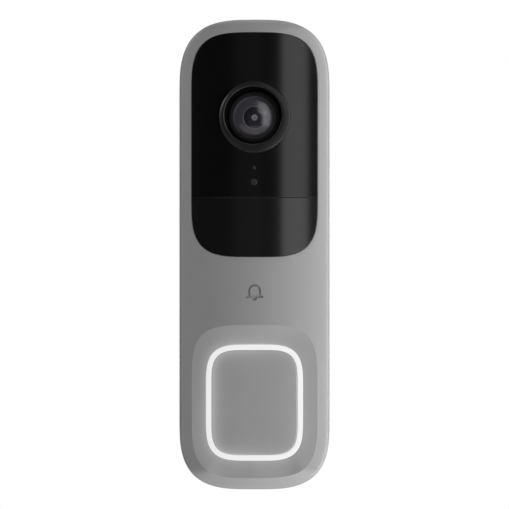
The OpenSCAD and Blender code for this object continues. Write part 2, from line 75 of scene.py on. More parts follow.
body_low, body_high = box_mm("front_housing")
BODY_W = body_high.x - body_low.x
BODY_H = body_high.z - body_low.z
CROWN_D = -body_low.y
PARTING_D = -box_mm("housing_gasket")[0].y
CROWN_R = 50.0         # radius of the convex front
SHELL_T = 2.0
WALL_T = 1.8
BODY_EDGE = 0.9        # radius of the body's front edge
OPENING_EDGE = 0.15    # radius of the edges round the window and the light ring

window_low, window_high = box_mm("camera_window")
pir_low, pir_high = box_mm("pir_lens")
PANEL_GAP = 0.1
PANEL_T = 2.0
SEAM_CORNER = 0.06
WINDOW_W = window_high.x - window_low.x + 2 * PANEL_GAP
WINDOW_TOP = window_high.z + PANEL_GAP
WINDOW_BOTTOM = pir_low.z - PANEL_GAP
LEDGE_IN = 1.8         # how far the ledge behind the window reaches in from its edge
LEDGE_DOWN, LEDGE_BACK = 2.4, 3.6   # how far the ledge's face and back are below the front
POCKET_OUT = 1.4       # how far the space behind the ledge reaches out past the window's edge

barrel_low, barrel_high = box_mm("lens_barrel")
LENS_Z = (barrel_low.z + barrel_high.z) / 2
BARREL_D = -barrel_low.y
BEZEL_R = 10.65
BEZEL_D = -box_mm("lens_bezel")[0].y
OPENING_R = 8.7        # opening in the bezel, set up and to the left of the lens
OPENING_SHIFT = (-0.45, 0.6)
RIM_SUNK = 0.05        # how far the bezel's edge sits below the window's face
RIM_SLOPE = 0.4        # how far the bezel's face falls from its opening to its edge
LENS_STEPS = 160       # points round the bezel
GLASS_APEX_D = -box_mm("lens_front_glass")[0].y
STATUS_Z = 26.2
AMBIENT_Z = 21.9

flange_low, flange_high = box_mm("light_ring")
BUTTON_Z = (flange_low.z + flange_high.z) / 2
PAD_Z = BUTTON_Z + 0.4
PAD_W, PAD_H = 38.0, 46.2
PAD_R = 105.0          # radius of the flatter face round the button
PAD_D = CROWN_D - 2
PAD_BACK_D = 23.3
RING_W, RING_H, RING_T = 29.2, 35.0, 1.6
RING_PROUD = 0.05      # how far the light ring stands out of the pad
CAP_GAP = 0.15
CAP_R = 140.0

# Soft corners: their sizes at an outline's top and bottom, and their superellipse power
BODY_C, BODY_POWER = (21.9, 20.5), 2.93
WINDOW_C, WINDOW_POWER = (19.1, 17.8), 3.5
PAD_C = (17.2, 18.9)
RING_C, RING_POWER = (13.3, 13.3), 3.6
CORNER_STEPS = 24
ALONG_X, ALONG_Z = 12, 10   # steps along an outline's straight parts

# The rims at the top and the bottom lean back as tilted cylinders
TOP_LEAN, BOTTOM_LEAN = radians(20), radians(31)
END_R = 85.0

RING_STRENGTH = 0.725
# Painted glow: emission on the grey plastic that stands in for the ring's light falling on it
PAINTED_GLOW = 1.0
PAINTED_GLOW_FADE = 1.6        # distance over which the painted glow of the ring's light fades on the plastic next to it

WORLD_LEVEL = 0.003
FLOOR_LEVEL = 0.45
FLOOR_Z = -1.4
FLOOR_SIZE = 8
CAMERA_FAR = 1.2
CAMERA_Z = 0.00007
FRAME_HEIGHT = 0.15343   # height of the view at the object's crown
# Azimuth and elevation in degrees, then distance, width, power and height of each soft box.
# Azimuth 0 is the front and 90 the right, seen from the front.
LIGHTS = {
    "strip": (28.8, 2, 0.8, 0.27, 0.61, 0.5),
    "dim_front": (-4.8, 0, 1.5, 0.53, 0.064, 0.6),
    "upper_front": (23, 28, 0.8, 0.34, 0.42, 0.36),
    "right_side": (80, 5, 0.9, 0.4, 7.9, 1.0),
    "right_front": (66, 0, 0.9, 0.3, 4.58, 1.0),
    "overhead": (0, 82, 0.8, 0.6, 2.45, 0.5),
    "high_front": (0, 62, 0.8, 0.5, 0.25, 0.4),
    "floor_bounce": (0, -76, 0.8, 0.6, 2.2, 0.5),
    "low_right": (60, -45, 0.8, 0.5, 4.9, 0.4),
    "left_front": (-62, 5, 0.9, 0.3, 0.9, 1.0),
    "left_side": (-75, 25, 0.9, 0.4, 3.5, 0.4),
    "back": (180, 15, 1.0, 0.8, 9.0, 0.8),
}


# ---- Outlines and depths ----

def outline(w, z0, z1, c, power):
    """Closed outline, counterclockwise from the right side; c is its corners' sizes, top and bottom."""
    points = []
    for side_x, side_z in ((1, 1), (-1, 1), (-1, -1), (1, -1)):
        size = min(c[0] if side_z > 0 else c[1], w / 2 - 0.3)
        corner_x = w / 2 - size
        corner_z = z1 - size if side_z > 0 else z0 + size
        steps = range(CORNER_STEPS + 1)
        for i in steps if side_x == side_z else reversed(steps):
            a = pi / 2 * i / CORNER_STEPS
            reach_x = size * max(cos(a), 0) ** (2 / power)
            reach_z = size * max(sin(a), 0) ** (2 / power)
            points.append((side_x * (corner_x + reach_x), corner_z + side_z * reach_z))
    full = []
    for k in range(4):
        full += points[k * (CORNER_STEPS + 1):(k + 1) * (CORNER_STEPS + 1)]
        (x0, low), (x1, high) = full[-1], points[((k + 1) * (CORNER_STEPS + 1)) % len(points)]
        count = ALONG_X if k % 2 == 0 else ALONG_Z
        full += [(x0 + (x1 - x0) * i / count, low + (high - low) * i / count) for i in range(1, count)]
    return full


def drawn_in(c, power, inset):
    """Corner sizes of an outline drawn in by inset, so that the distance between the two stays even."""
    loss = inset * (1 - sqrt(0.5)) / (1 - 0.5 ** (1 / power))
    return [max(size - loss, 0.05) for size in c]


def soft_loop(w, h, c, power, z, inset):
    """A w by h outline round height z, drawn in by inset."""
    return outline(w - 2 * inset, z - h / 2 + inset, z + h / 2 - inset, drawn_in(c, power, inset), power)


def body_loop(inset=0.0):
    return soft_loop(BODY_W, BODY_H, BODY_C, BODY_POWER, 0.0, inset)


def window_loop(inset=0.0):
    middle = (WINDOW_TOP + WINDOW_BOTTOM) / 2
    return soft_loop(WINDOW_W, WINDOW_TOP - WINDOW_BOTTOM, WINDOW_C, WINDOW_POWER, middle, inset)


def ring_loop(inset=0.0):
    return soft_loop(RING_W, RING_H, RING_C, RING_POWER, BUTTON_Z, inset)


def pad_loop(t):
    """Outlines from the pad's contour, t = 0, to the opening round the light ring, t = 1."""
    contour = soft_loop(PAD_W, PAD_H, PAD_C, WINDOW_POWER, PAD_Z, 0.0)
    opening = ring_loop(-PANEL_GAP)
    return [(x0 + (x1 - x0) * t, z0 + (z1 - z0) * t) for (x0, z0), (x1, z1) in zip(contour, opening)]


def circle_loop(r, z, count=96):
    return [(r * cos(2 * pi * i / count), z + r * sin(2 * pi * i / count)) for i in range(count)]


def on_cylinder(x, r, crown):
    """Depth at x of a cylinder about a vertical axis."""
    return crown - r + sqrt(r * r - x * x)


def soft_min(a, b, reach):
    """The lower of two numbers, blended where they are within reach of each other."""
    h = max(reach - abs(a - b), 0) / reach
    return min(a, b) - h * h * reach / 4


def smooth_step(t):
    """Eases from 0 to 1 as t does."""
    t = min(max(t, 0.0), 1.0)
    return t * t * (3 - 2 * t)


def front_depth(x, z):
    """The plain convex front."""
    return on_cylinder(x, CROWN_R, CROWN_D)


def face_depth(x, z):
    """The convex front, cut back by its two leaning rims."""
    sag = END_R - sqrt(END_R ** 2 - x * x)
    top = CROWN_D - sag / cos(TOP_LEAN) - tan(TOP_LEAN) * (z - WINDOW_TOP - 0.2)
    low = PAD_D + 0.05 - sag / cos(BOTTOM_LEAN) + tan(BOTTOM_LEAN) * (z - PAD_Z + PAD_H / 2)
    return soft_min(soft_min(front_depth(x, z), top, 0.35), low, 0.6)


def pad_depth(x, z):
    return on_cylinder(x, PAD_R, PAD_D)


def cap_depth(x, z):
    return on_cylinder(x, CAP_R, PAD_D)


def inner_depth(x, z):
    """Back of the front wall; behind the button's pad it is a thick plate."""
    pad_edge = PAD_Z + PAD_H / 2 + 2
    behind_pad = smooth_step((pad_edge + 1.5 - z) / 3)
    shell = on_cylinder(x, CROWN_R - SHELL_T, CROWN_D - SHELL_T)
    return shell + behind_pad * (min(shell, PAD_BACK_D) - shell)


def below(surface, drop):
    """A surface lowered by drop."""
    return lambda x, z: surface(x, z) - drop


def quarter(steps):
    """Angles that go round a quarter turn."""
    return [pi / 2 * i / steps for i in range(steps + 1)]


def fillet(radius, steps):
    """(inset, drop) pairs round an edge, from the side wall to the face."""
    return [(radius * (1 - cos(a)), radius * (1 - sin(a))) for a in quarter(steps)]


def moved(loop, shift, share=1.0):
    """An outline moved by a share of shift."""
    return [(x + shift[0] * share, z + shift[1] * share) for x, z in loop]


# ---- Mesh building ----

class Skin:
    """Collects points and faces of one piece; a point is (x, depth, z) in millimetres."""

    def __init__(self):
        self.points = []
        self.faces = []
        self.normals = {}
        # painted glow of the ring's light at each point
        self.painted_glow = {}

    def add(self, points):
        start = len(self.points)
        self.points += points
        return list(range(start, len(self.points)))

    def ring(self, loop, depth):
        """Adds an outline at a depth, which is a number or a function of x and z."""
        return self.add([(x, depth(x, z) if callable(depth) else depth, z) for x, z in loop])

    def bridge(self, a, b):
        n = len(a)
        self.faces += [(a[i], a[(i + 1) % n], b[(i + 1) % n], b[i]) for i in range(n)]

    def bridge_all(self, rings):
        for a, b in zip(rings, rings[1:]):
            self.bridge(a, b)

    def fill(self, outer, holes, depth, step_x, step_z, normal=None):
        """Fills between an outer ring and its holes, with a grid of points that follow the depth.
        A normal is a function of x, for the grid's points."""
        loops = [outer, *holes]
        flat = {i: (self.points[i][0], self.points[i][2]) for loop in loops for i in loop}
        outlines = [np.array([flat[i] for i in loop]) for loop in loops]
        low, high = outlines[0].min(0), outlines[0].max(0)
        xs = np.arange(-(high[0] // step_x) * step_x, high[0], step_x)
        zs = np.arange(low[1] + step_z / 2, high[1], step_z)
        grid = np.array([(x, z) for z in zs for x in xs]).reshape(-1, 2)
        keep = inside(grid, outlines[0]) & (distance(grid, outlines[0]) > 0.3 * step_x)
        for hole in outlines[1:]:
            keep &= ~inside(grid, hole) & (distance(grid, hole) > 0.3 * step_x)
        extra = self.ring([tuple(p) for p in grid[keep]], depth)
        ids = [i for loop in loops for i in loop] + extra
        flat.update({i: (self.points[i][0], self.points[i][2]) for i in extra})
        edges, start = [], 0
        for loop in loops:
            n = len(loop)
            edges += [(start + k, start + (k + 1) % n) for k in range(n)]
            start += n
        made, _, faces, origin, _, _ = delaunay_2d_cdt([Vector(flat[i]) for i in ids], edges, [], 1, 1e-6)
        back = [ids[o[0]] if o else None for o in origin]
        centres = np.array([np.mean([made[v] for v in f], axis=0) for f in faces])
        keep = np.ones(len(faces), bool)
        for hole in outlines[1:]:
            keep &= ~inside(centres, hole)
        for f, kept in zip(faces, keep):
            if kept and None not in [back[v] for v in f]:
                self.faces.append(tuple(back[v] for v in f))
        if normal:
            for i in extra:
                self.normals[i] = normal(self.points[i][0])

    def make(self, name, material):
        mesh = bpy.data.meshes.new(name)
        mesh.from_pydata([(x * MM, -d * MM, z * MM) for x, d, z in self.points], [], self.faces)
        tidy = bmesh.new()
        tidy.from_mesh(mesh)
        bmesh.ops.recalc_face_normals(tidy, faces=tidy.faces)
        tidy.to_mesh(mesh)
        tidy.free()
        smooth(mesh)
        if self.normals:
            own = [self.normals.get(i, (0, 0, 0)) for i in range(len(self.points))]
            mesh.normals_split_custom_set_from_vertices(own)
        # the painted glow of the ring's light goes into the mesh as a point attribute
        if self.painted_glow:
            layer = mesh.attributes.new("painted_glow", "FLOAT", "POINT")
            layer.data.foreach_set("value", [self.painted_glow.get(i, 0.0) for i in range(len(self.points))])
        obj = bpy.data.objects.new(name, mesh)
        bpy.context.scene.collection.objects.link(obj)
        mesh.materials.append(material)
        return obj


def smooth(mesh, angle=SHARP_ANGLE):
    """Smooth shading, except over edges that turn by more than the angle."""
    mesh.polygons.foreach_set("use_smooth", [True] * len(mesh.polygons))
    mesh.set_sharp_from_angle(angle=angle)


def inside(points, loop):
    """Which points lie inside a closed outline."""
    result = np.zeros(len(points), bool)
    x, z = points[:, 0], points[:, 1]
    for (x0, z0), (x1, z1) in zip(loop, np.roll(loop, -1, axis=0)):
        if z0 != z1:
            crosses = (z0 > z) != (z1 > z)
            result ^= crosses & (x < (x1 - x0) * (z - z0) / (z1 - z0) + x0)
    return result


def distance(points, loop):
    """Distance from each point to the nearest corner of an outline."""
    return np.min(np.linalg.norm(points[:, None, :] - loop[None, :, :], axis=2), axis=1)


def crown_normal(x):
    """Normal of the convex front."""
    return (x / CROWN_R, -sqrt(1 - (x / CROWN_R) ** 2), 0)


def turned(name, profile, z, material):
    """Solid of revolution about the depth axis at height z; the closed profile is (radius, depth)."""
    steps = 128
    skin = Skin()
    rings = [skin.ring(circle_loop(r, z, steps) if r else [(0.0, z)], d) for r, d in profile]
    closed = len(rings[0]) > 1 and len(rings[-1]) > 1
    for a, b in zip(rings, rings[1:] + ([rings[0]] if closed else [])):
        if len(a) == 1:
            skin.faces += [(a[0], b[i], b[(i + 1) % steps]) for i in range(steps)]
        elif len(b) == 1:
            skin.faces += [(a[i], a[(i + 1) % steps], b[0]) for i in range(steps)]
        else:
            skin.bridge(a, b)
    return skin.make(name, material)


def solidly(obj):
    """Applies an object's modifiers to its mesh."""
    bpy.context.view_layer.update()
    graph = bpy.context.evaluated_depsgraph_get()
    mesh = bpy.data.meshes.new_from_object(obj.evaluated_get(graph))
    obj.modifiers.clear()
    obj.data = mesh


def cut(obj, cutter):
    """Cuts the cutter's shape out of a piece."""
    boolean = obj.modifiers.new("cut", "BOOLEAN")
    boolean.operation = "DIFFERENCE"
    boolean.solver = "EXACT"
    boolean.object = cutter
    solidly(obj)
    bpy.data.objects.remove(cutter)


# ---- Materials ----

class Nodes:
    """A new procedural material, with short calls for its nodes."""

    def __init__(self, name):
        self.material = bpy.data.materials.new(name)
        self.material.use_nodes = True
        self.tree = self.material.node_tree
        self.shader = self.tree.nodes["Principled BSDF"]
        self.place = self.add("ShaderNodeTexCoord").outputs["Object"]

    def add(self, kind, links=(), **values):
        node = self.tree.nodes.new(kind)
        for key, value in values.items():
            setattr(node, key, value)
        for socket, source in dict(links).items():
            self.put(node, socket, source)
        return node

    def put(self, node, socket, value):
        target = node.inputs[socket]
        if isinstance(value, bpy.types.NodeSocket):
            self.tree.links.new(value, target)
        else:
            target.default_value = value

    def set(self, **values):
        for key, value in values.items():
            self.put(self.shader, key.replace("_", " "), value)
        return self

    def noise(self, size, detail=3.0, rough=0.5, place=None):
        """Noise whose features are about size millimetres."""
        made = self.add("ShaderNodeTexNoise", {"Vector": place or self.place, "Scale": 1 / (size * MM),
                                               "Detail": detail, "Roughness": rough})
        return made.outputs["Fac"]

    def ramp(self, value, low, high):
        """Turns a value from 0 to 1 into one from low to high."""
        made = self.add("ShaderNodeMapRange", {"Value": value, "To Min": low, "To Max": high})
        return made.outputs["Result"]

    def between(self, value, a, b):
        """Mixes two colours by a value."""
        made = self.add("ShaderNodeMix", data_type="RGBA")
        self.put(made, 0, value)
        for socket, colour in ((6, a), (7, b)):
            self.put(made, socket, colour if isinstance(colour, bpy.types.NodeSocket) else (*colour, 1))
        return made.outputs[2]

    def maths(self, operation, *values):
        return self.add("ShaderNodeMath", dict(enumerate(values)), operation=operation).outputs[0]

    def bump(self, height, depth):
        """Bump of a given depth in millimetres."""
        return self.add("ShaderNodeBump", {"Height": height, "Distance": depth * MM}).outputs["Normal"]


def shade(colour, factor):
    """A colour made paler or darker."""
    return tuple(min(c * factor, 1) for c in colour)


def moulded(name, colour, rough=0.5, grain=0.22, depth=0.012, vary=0.06, specular=0.5):
    """Moulded plastic: a spark-eroded grain, faint cloudiness and an uneven sheen."""
    n = Nodes(name)
    fine = n.noise(grain, 4, 0.6)
    cloud = n.noise(9, 2)
    tint = n.maths("MULTIPLY_ADD", fine, 0.5, 0.25)
    mottle = n.maths("ADD", n.maths("MULTIPLY", tint, 0.5), n.maths("MULTIPLY", cloud, 0.5))
    n.set(Base_Color=n.between(mottle, shade(colour, 1 - vary), shade(colour, 1 + vary)),
          Roughness=n.ramp(cloud, rough - 0.04, rough + 0.04), Normal=n.bump(fine, depth),
          Specular_IOR_Level=specular)
    return n


def plastic_with_painted_glow(name, depth):
    """The body's grey plastic, with the ring's light painted on as emission from the glow kept in the mesh.
    """
    n = moulded(name, (0.205, 0.205, 0.207), rough=0.46, depth=depth)
    layer = n.add("ShaderNodeAttribute", attribute_name="painted_glow")
    # painted light: emission that stands in for the ring's light on the plastic
    strength = n.maths("MULTIPLY", layer.outputs["Fac"], PAINTED_GLOW)
    n.set(Emission_Color=(1, 1, 1, 1), Emission_Strength=strength)
    return n.material


def window_acrylic():
    """Black polished acrylic with the faintest orange peel."""
    n = Nodes("window_acrylic")
    wave = n.noise(6, 1)
    n.set(Base_Color=n.between(n.noise(14, 2), (0.0022, 0.0022, 0.0024), (0.0034, 0.0034, 0.0036)),
          Roughness=n.ramp(n.noise(3, 2), 0.15, 0.18), Normal=n.bump(wave, 0.003), IOR=1.49)
    return n.material


def sensor_film():
    """Satin black film, which lets body heat through to the motion sensor."""
    n = Nodes("sensor_film")
    fine = n.noise(0.3, 3)
    n.set(Base_Color=n.between(n.noise(10, 2), (0.0045, 0.0045, 0.0047), (0.0055, 0.0055, 0.0057)),
          Roughness=n.ramp(fine, 0.15, 0.18), Normal=n.bump(fine, 0.0015), IOR=1.55)
    return n.material


def bezel_plastic():
    return moulded("bezel_plastic", (0.0032, 0.0032, 0.0033), rough=0.40, grain=0.15, depth=0.002,
                   vary=0.1, specular=0.32).material


def baffle_plastic():
    return moulded("baffle_plastic", (0.0030, 0.0030, 0.0038), rough=0.55, grain=0.12, depth=0.002,
                   vary=0.1, specular=0.12).material


def flocking():
    """Light-trapping black inside the opening."""
    return moulded("flocking", (0.0006, 0.0006, 0.0007), rough=0.9, grain=0.1, depth=0.02,
                   vary=0.2, specular=0.02).material


def lens_glass():
    """Coated glass, mostly clear, with the coating's violet tint; its base colour also paints in light,
    darker over the inner lens and with a pale painted spot over the iris.
    """
    n = Nodes("lens_glass")
    centre = (0, -GLASS_APEX_D * MM, LENS_Z * MM)
    off = n.add("ShaderNodeVectorMath", {0: n.place, 1: centre}, operation="SUBTRACT").outputs["Vector"]
    radius = n.add("ShaderNodeVectorMath", {0: off}, operation="LENGTH").outputs["Value"]

    def beyond(r, soft):
        """0 inside a radius and 1 outside it."""
        made = n.add("ShaderNodeMapRange", {"Value": radius, "From Min": (r - soft) * MM,
                                            "From Max": (r + soft) * MM})
        return made.outputs["Result"]

    # painted light: the outer base colour brightens the glass as if the barrel face behind it were lit more
    outer = n.between(n.ramp(n.noise(5, 1), 0.2, 0.8), (0.036, 0.034, 0.042), (0.046, 0.043, 0.051))
    # painted light: a pale spot over the iris in the middle, darker over the rest of the inner lens
    inner = n.between(beyond(0.8, 0.2), (0.16, 0.155, 0.16), (0.022, 0.020, 0.030))
    n.set(Base_Color=n.between(beyond(3.4, 0.1), inner, outer), Roughness=n.ramp(n.noise(4, 1), 0.19, 0.21),
          Alpha=0.38, IOR=2.4, Specular_Tint=(0.95, 0.92, 0.97, 1))
    return n.material


def inner_glass():
    """Dark polished glass of the inner lens."""
    n = Nodes("inner_glass")
    n.set(Base_Color=n.between(n.noise(2, 1), (0.006, 0.006, 0.012), (0.010, 0.009, 0.018)),
          Roughness=n.ramp(n.noise(1, 1), 0.05, 0.09), IOR=1.9)
    return n.material


def milky_diffuser():
    """Plastic of the light ring, lit from behind by a row of LEDs."""
    n = Nodes("ring_diffuser")
    cloud = n.noise(5, 1)
    n.set(Base_Color=n.between(cloud, (0.115, 0.115, 0.115), (0.125, 0.125, 0.125)),
          Emission_Color=(1, 1, 1, 1),
          Emission_Strength=n.ramp(cloud, RING_STRENGTH * 0.985, RING_STRENGTH * 1.015),
          Roughness=n.ramp(n.noise(1.2, 2), 0.4, 0.5), Specular_IOR_Level=0.2)
    return n.material


def rubber(name, colour):
    return moulded(name, colour, rough=0.75, grain=0.4, depth=0.02, vary=0.15, specular=0.3).material


def metal(name, colour, rough, line=0.0):
    """Machined or stamped metal; line, from 0 to 1, stretches its brushing along the height."""
    n = Nodes(name)
    stretch = n.add("ShaderNodeMapping", {"Vector": n.place, "Scale": (1, 1, 1 - line)})
    fine = n.noise(0.12, 4, 0.6, stretch.outputs["Vector"])
    n.set(Base_Color=n.between(n.noise(2.5, 3), shade(colour, 0.85), colour),
          Roughness=n.ramp(fine, rough - 0.08, rough + 0.08), Normal=n.bump(fine, 0.003), Metallic=1.0)
    return n.material


def circuit_board():
    """Green solder mask: tracks of copper show through as paler lines."""
    n = Nodes("circuit_board")
    bricks = n.add("ShaderNodeTexBrick", {
        "Vector": n.place, "Scale": 260.0, "Mortar Size": 0.03, "Color1": (0.012, 0.075, 0.03, 1),
        "Color2": (0.016, 0.09, 0.035, 1), "Mortar": (0.03, 0.16, 0.07, 1)})
    n.set(Base_Color=bricks.outputs["Color"], Roughness=n.ramp(n.noise(1), 0.25, 0.4),
          Normal=n.bump(bricks.outputs["Fac"], 0.03))
    return n.material


def woven_mesh():
    """Fine acoustic mesh."""
    n = Nodes("woven_mesh")
    warp = n.add("ShaderNodeTexWave", {"Vector": n.place, "Scale": 420.0}, bands_direction="X")
    weft = n.add("ShaderNodeTexWave", {"Vector": n.place, "Scale": 420.0}, bands_direction="Y")
    weave = n.maths("MAXIMUM", warp.outputs["Fac"], weft.outputs["Fac"])
    n.set(Base_Color=n.between(weave, (0.004, 0.004, 0.004), (0.05, 0.05, 0.052)), Roughness=0.45,
          Normal=n.bump(weave, 0.05), Metallic=0.6)
    return n.material


# ---- Pieces ----

def place(obj, node, slot, body="housing"):
    """Stands a finished piece in for its CAD node."""
    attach(obj, body)
    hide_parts(node)
    return obj


def painted_glow_at(gap, way_x, way_z, near, far):
    """Painted glow standing in for the ring's light on the plastic a gap away from the ring, out along
    (way_x, way_z).
    near fades with the gap and far doesn't; each has its mean level, then its lean along x and z, which
    paints one side lighter."""
    length = hypot(way_x, way_z) or 1
    way_x, way_z = way_x / length, way_z / length
    faded = (near[0] + near[1] * way_x) * exp(-gap / PAINTED_GLOW_FADE)
    return faded + max(far[0] + far[1] * way_x + far[2] * way_z, 0)


def front_housing():
    """The convex shell: side walls, face, window opening, and the pad that scoops down to the light ring."""
    skin = Skin()
    outer = [skin.ring(body_loop(inset), PARTING_D + up)
             for inset, up in ((WALL_T, 0.05), (0.3, 0.05), (0.09, 0.14), (0, 0.35), (0, 6))]
    outer += [skin.ring(body_loop(inset), below(face_depth, drop)) for inset, drop in fillet(BODY_EDGE, 6)]
    skin.bridge_all(outer)

    window = [skin.ring(window_loop(-inset), below(face_depth, drop))
              for inset, drop in reversed(fillet(OPENING_EDGE, 3))]
    ledge = ((0, LEDGE_DOWN), (LEDGE_IN, LEDGE_DOWN), (LEDGE_IN, LEDGE_BACK), (-POCKET_OUT, LEDGE_BACK),
             (-POCKET_OUT, SHELL_T))
    window += [skin.ring(window_loop(inset), below(front_depth, drop)) for inset, drop in ledge]
    skin.bridge_all(window)

    pad = pad_rings(skin)
    skin.bridge_all(pad)
    skin.fill(outer[-1], [window[0], pad[0]], face_depth, 1.1, 1.6)
    inner = skin.ring(body_loop(WALL_T), inner_depth)
    skin.bridge(outer[0], inner)
    skin.fill(inner, [window[-1], pad[-1]], inner_depth, 2.5, 2.5)
    shell = skin.make("front_shell", plastic_with_painted_glow("housing_plastic", 0.010))
    cut(shell, sound_slots())
    cut(shell, bell_cutter())
    smooth(shell.data)
    place(shell, "front_housing", "housing_grey")


def pad_rings(skin):
    """Rings from the front down to the opening round the light ring, with its light painted on them as glow.
    """
    steps = [-0.06, -0.035, -0.015, 0, 0.015, 0.035, 0.06, 0.12, 0.25, 0.4, 0.55, 0.7, 0.82, 0.91, 0.96]
    contour, opening = pad_loop(0), pad_loop(1)
    pad = []
    for t in steps:
        blend = smooth_step((t - steps[0]) / (-2 * steps[0]))
        points = []
        for (x, z), (cx, cz), (ox, oz) in zip(pad_loop(t), contour, opening):
            scooped = face_depth(cx, cz) + (pad_depth(ox, oz) - face_depth(cx, cz)) * t
            points.append((x, face_depth(x, z) + (scooped - face_depth(x, z)) * blend, z))
        pad.append(skin.add(points))
        if t > 0:
            # painted glow: the ring's light on the pad as emission, with a part that does not fade and is
            # lighter to the left and below
            for i, (cx, cz), (ox, oz) in zip(pad[-1], contour, opening):
                x, _, z = skin.points[i]
                skin.painted_glow[i] = painted_glow_at(hypot(x - ox, z - oz), cx - ox, cz - oz,
                                       (0.085, -0.035), (0.02, -0.02, -0.015))
    for inset, drop in reversed(fillet(OPENING_EDGE, 3)):
        pad.append(skin.ring(ring_loop(-PANEL_GAP - inset), below(pad_depth, drop)))
        # painted glow of the ring's light on the opening's rounded edge
        skin.painted_glow.update({i: 0.12 for i in pad[-1]})
    pad.append(skin.ring(ring_loop(-PANEL_GAP), inner_depth))
    return pad


def sound_slots():
    """Cutter for the speaker's slots and the microphone's port in the bottom wall."""
    skin = Skin()
    bottom = -BODY_H / 2
    # Each has its x, the depths of its two ends, and its radius
    slots = [(x, 9.8, 15.8, 0.65) for x in range(-9, 10, 3)]
    port = (-14.6, 12.2, 12.2, 0.5)
    angles = [2 * pi * i / 24 for i in range(24)]
    for x, d0, d1, narrow in [*slots, port]:
        rings = []
        for z, grow in ((bottom - 2, 0.25), (bottom - 0.05, 0.25), (bottom + 0.2, 0), (bottom + 8, 0)):
            r = narrow + grow
            rings.append(skin.add([(x + r * cos(a), (d1 if sin(a) >= 0 else d0) + r * sin(a), z)
                                   for a in angles]))
        skin.bridge_all(rings)
        skin.faces += [tuple(rings[0]), tuple(rings[-1])]
    return skin.make("sound_slots", None)


def bell_cutter():
    """Cutter for a small bell outline pressed into the face below the window."""
    middle, deep = -10.8, 0.3
    arc = [radians(a) for a in range(0, 181, 12)]
    outer = [(1.9 * cos(a), middle + 1.9 * sin(a)) for a in arc]
    outer += [(-1.9, middle - 1.5), (-2.6, middle - 1.6), (-2.6, middle - 2.2), (-0.75, middle - 2.2)]
    outer += [(0.72 * cos(a), middle - 2.3 - 0.72 * sin(a)) for a in reversed(arc[1:-1])]
    outer += [(0.75, middle - 2.2), (2.6, middle - 2.2), (2.6, middle - 1.6), (1.9, middle - 1.5)]
    inner = [(1.3 * cos(a), middle + 1.3 * sin(a)) for a in arc]
    inner += [(-1.3, middle - 1.5), (1.3, middle - 1.5)]
    skin = Skin()
    low, high = CROWN_D - deep, CROWN_D + 1
    walls = []
    for loop in (outer, inner):
        a, b = skin.ring(loop, low), skin.ring(loop, high)
        skin.bridge(a, b)
        walls.append((a, b))
    skin.fill(walls[0][0], [walls[1][0]], low, 50, 50)
    skin.fill(walls[0][1], [walls[1][1]], high, 50, 50)
    return skin.make("bell_cutter", None)


def panel(name, loop_at, material, holes=()):
    """A pane that follows the convex front, with softened edges; loop_at gives its outline by inset."""
    skin = Skin()
    back = below(front_depth, PANEL_T)
    sides = [skin.ring(loop_at(0), back)]
    sides += [skin.ring(loop_at(inset), below(front_depth, drop)) for inset, drop in fillet(0.07, 3)]
    skin.bridge_all(sides)
    front_holes, back_holes = [], []
    for hole in holes:
        walls = [skin.ring(hole(-inset), below(front_depth, drop))
                 for inset, drop in reversed(fillet(0.08, 2))]
        walls.append(skin.ring(hole(0), back))
        skin.bridge_all(walls)
        front_holes.append(walls[0])
        back_holes.append(walls[-1])
    skin.fill(sides[-1], front_holes, front_depth, 0.7, 3.0, crown_normal)
    for i in [*sides[-1], *(i for hole in front_holes for i in hole)]:
        skin.normals[i] = crown_normal(skin.points[i][0])
    skin.fill(sides[0], back_holes, back, 1.4, 6.0)
    return skin.make(name, material)


def square_hole(z, size, corner):
    """Outline by inset of a rounded square at height z."""
    return lambda inset: moved(rounded_square(size - 2 * inset, corner - inset), (0, z))


def rounded_square(size, corner):
    points = []
    for k in range(4):
        cx = (size / 2 - corner) * (1 if k in (0, 3) else -1)
        cz = (size / 2 - corner) * (1 if k < 2 else -1)
        for i in range(5):
            a = pi / 2 * (k + i / 4)
            points.append((cx + corner * cos(a), cz + corner * sin(a)))
    return points


def camera_window():
    def loop(inset):
        top, _ = drawn_in(WINDOW_C, WINDOW_POWER, PANEL_GAP + inset)
        return outline(WINDOW_W - 2 * (PANEL_GAP + inset), window_low.z + inset, window_high.z - inset,
                       (top, SEAM_CORNER), WINDOW_POWER)
    holes = [lambda inset: circle_loop(BEZEL_R + 0.06 - inset, LENS_Z, 128),
             lambda inset: circle_loop(0.42 - inset, STATUS_Z, 24), square_hole(AMBIENT_Z, 1.6, 0.45)]
    place(panel("window_pane", loop, window_acrylic(), holes), "camera_window", "window_black")


def pir_lens():
    height = pir_high.z - pir_low.z

    def loop(inset):
        _, low = drawn_in(WINDOW_C, WINDOW_POWER, PANEL_GAP + inset)
        corners = SEAM_CORNER, min(low, height - 2 * (inset + SEAM_CORNER))
        return outline(WINDOW_W - 2 * (PANEL_GAP + inset), pir_low.z + inset, pir_high.z - inset,
                       corners, WINDOW_POWER)
    place(panel("sensor_cover", loop, sensor_film()), "pir_lens", "sensor_black")


def light_pipes():
    """The status light's round tip and the light sensor's square one, a hair below the window's face."""
    n = moulded("pipe_plastic", (0.0095, 0.0095, 0.010), rough=0.35, depth=0.002)
    back = -box_mm("light_pipes")[1].y
    skin = Skin()
    for loop_at in (lambda inset: circle_loop(0.4 - inset, STATUS_Z, 24), square_hole(AMBIENT_Z, 1.5, 0.4)):
        rings = [skin.ring(loop_at(0), back)]
        rings += [skin.ring(loop_at(inset), CROWN_D - 0.04 - drop) for inset, drop in fillet(0.06, 3)]
        skin.bridge_all(rings)
        skin.faces += [tuple(rings[0]), tuple(rings[-1])]
    place(skin.make("dot_lights", n.material), "light_pipes", "light_pipe")


